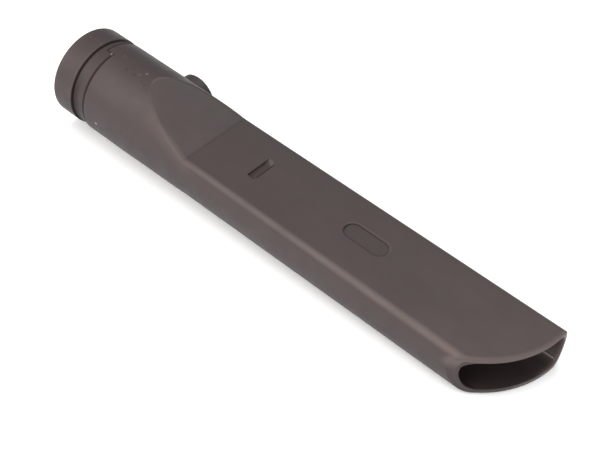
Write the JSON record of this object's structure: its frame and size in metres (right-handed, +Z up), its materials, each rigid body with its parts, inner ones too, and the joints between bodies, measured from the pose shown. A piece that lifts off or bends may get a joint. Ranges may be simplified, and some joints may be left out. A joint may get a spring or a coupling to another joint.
{
  "type": "vacuum crevice tool",
  "caption": "Moulded crevice nozzle: a round grooved socket runs down ramps into a flat tapered duct with an oblique arc-shaped mouth, a latch pocket, a bare badge recess and a round side stud.",
  "frame": {"origin": "centre of the socket mouth, on the open end face of the collar", "axes": "+X along the tube axis from the socket to the nozzle mouth, +Y across the nozzle towards the round stud, +Z up out of the wide flat face"},
  "size_m": [0.2233, 0.0405, 0.0382],
  "materials": {
    "body_plastic": "matte warm grey moulded plastic with a fine even grain"
  },
  "bodies": {
    "root": {"crevice_tool": "body_plastic"}
  },
  "joints": []
}
